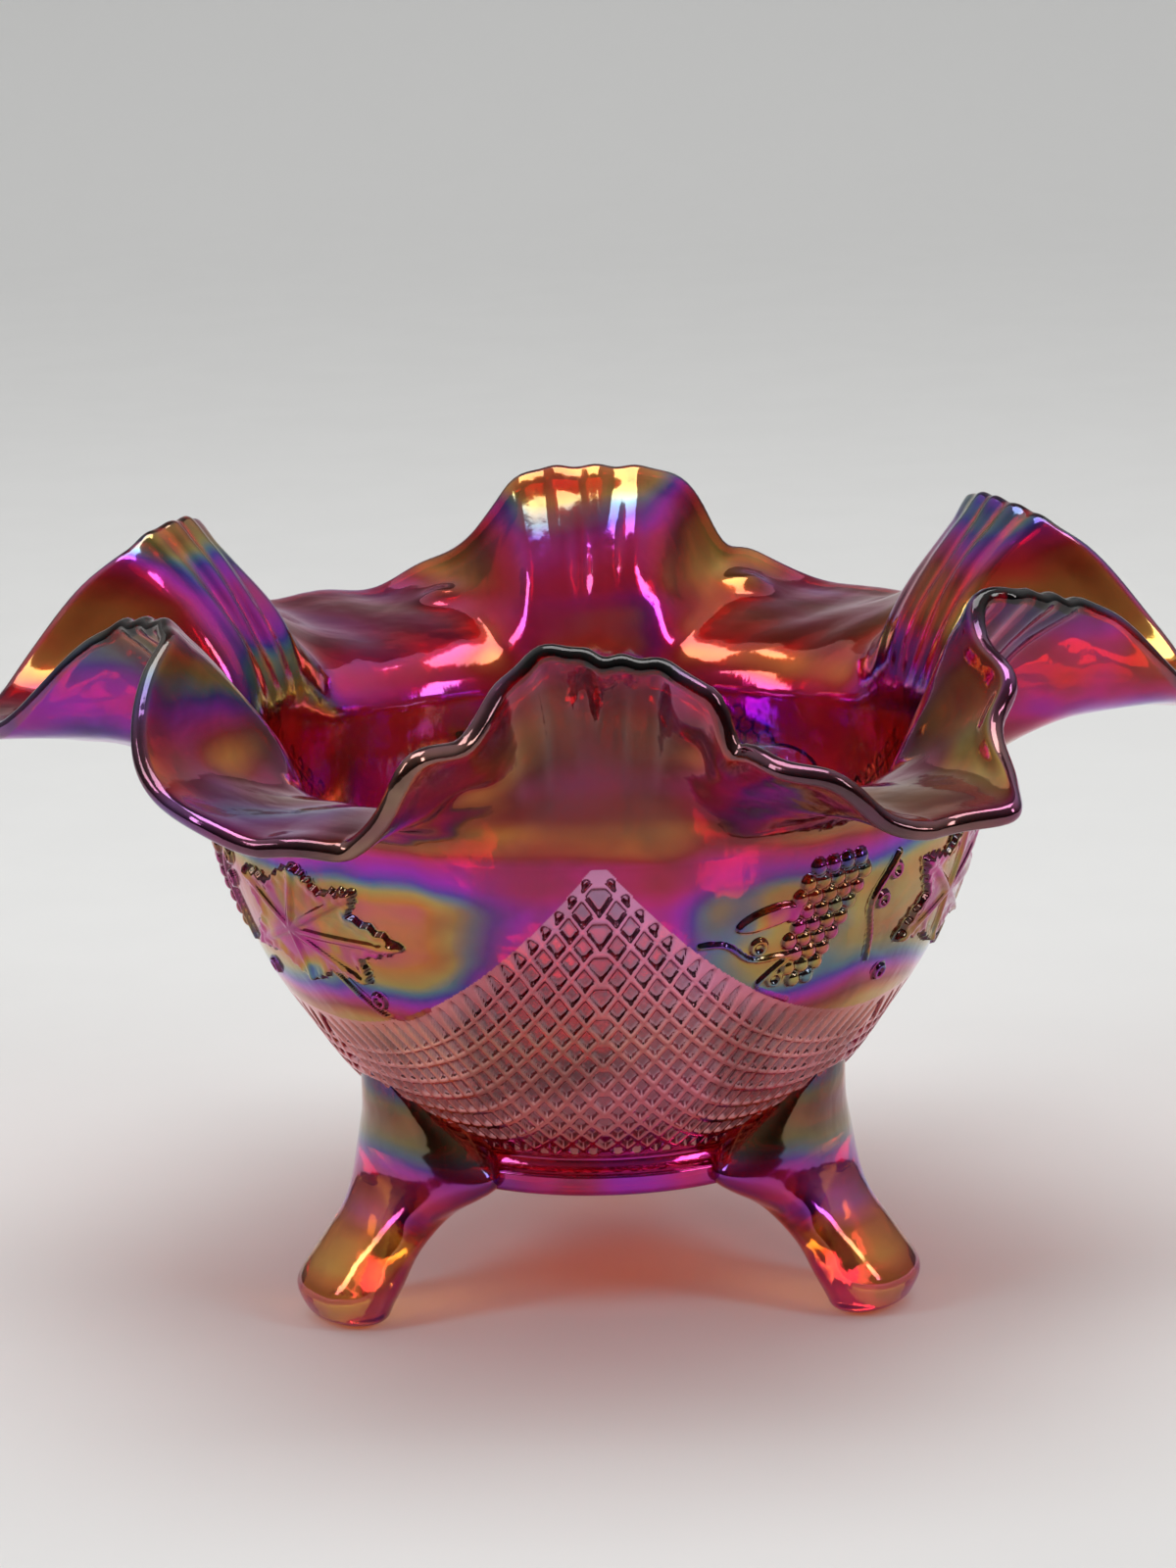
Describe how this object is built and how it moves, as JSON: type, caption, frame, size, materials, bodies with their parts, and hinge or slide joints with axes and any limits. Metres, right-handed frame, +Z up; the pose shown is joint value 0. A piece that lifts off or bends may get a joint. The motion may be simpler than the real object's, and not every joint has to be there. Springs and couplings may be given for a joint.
{
  "type": "footed ruffled glass bowl",
  "caption": "Round pressed-glass bowl on short splayed feet, with a wide hand-ruffled rim, a diamond net around the lower wall and raised grape bunches and vine leaves.",
  "frame": {"origin": "on the floor under the centre of the bowl, at the level of the three foot pads", "axes": "+Z up; -Y is the front, the side with a foot at each side of it; +X is the right seen from the front"},
  "size_m": [0.2056, 0.1832, 0.1229],
  "materials": {
    "ruby_glass": "glossy iridescent ruby glass",
    "ruby_glass_net": "iridescent ruby glass with a pressed net",
    "ruby_glass_rim": "glossy iridescent ruby glass, gold and purple in reflection",
    "ruby_glass_relief": "iridescent ruby glass in raised relief",
    "amber_glass": "glossy amber to ruby glass"
  },
  "bodies": {
    "root": {"bowl_body": "ruby_glass", "diamond_band": "ruby_glass_net", "ruffled_rim": "ruby_glass_rim", "collar_base": "ruby_glass", "foot_front_right": "amber_glass", "foot_rear": "amber_glass", "foot_front_left": "amber_glass", "grape_bunch_front_right": "ruby_glass_relief", "grape_bunch_rear": "ruby_glass_relief", "grape_bunch_front_left": "ruby_glass_relief", "vine_leaf_front_right": "ruby_glass_relief", "vine_leaf_rear": "ruby_glass_relief", "vine_leaf_front_left": "ruby_glass_relief"}
  },
  "joints": []
}
